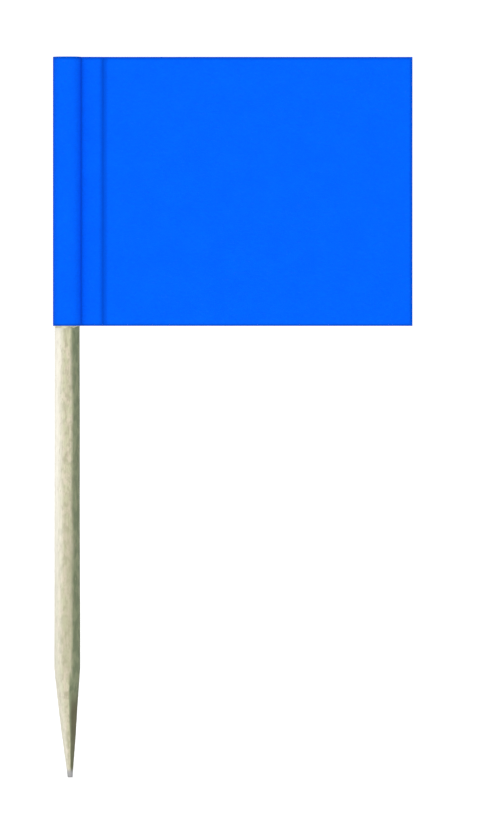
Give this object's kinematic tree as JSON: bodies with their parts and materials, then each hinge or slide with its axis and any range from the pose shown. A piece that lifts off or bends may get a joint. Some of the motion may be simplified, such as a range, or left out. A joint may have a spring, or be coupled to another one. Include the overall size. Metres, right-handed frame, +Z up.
{
  "type": "cocktail stick flag",
  "caption": "Small rectangular paper flag wrapped round and glued to the upper end of a pointed wooden stick, for marking food or cakes.",
  "frame": {"origin": "on the stick's axis, at the level of its blunt lower tip, which is pushed into what holds the flag up", "axes": "+Z up the stick towards the flag, +X from the stick towards the flag's free fly edge, -Y out of the side on which the glued tab shows"},
  "size_m": [0.034, 0.0026, 0.068],
  "materials": {
    "birch_wood": "matte",
    "blue_paper": "matte",
    "dried_glue": "gloss"
  },
  "bodies": {
    "stick": {"wood_stick": "birch_wood", "paper_hoist": "blue_paper", "stick_glue": "dried_glue", "tab_glue": "dried_glue"},
    "leaf": {"paper_leaf": "blue_paper"}
  },
  "joints": [
    {"name": "leaf_flex", "type": "hinge", "parent": "stick", "child": "leaf", "pos_m": [0.00567, 0.00009, 0.0553], "axis": [0, 0, 1], "range_deg": [-60, 60], "stiffness_Nm_per_rad": 0.0024}
  ]
}
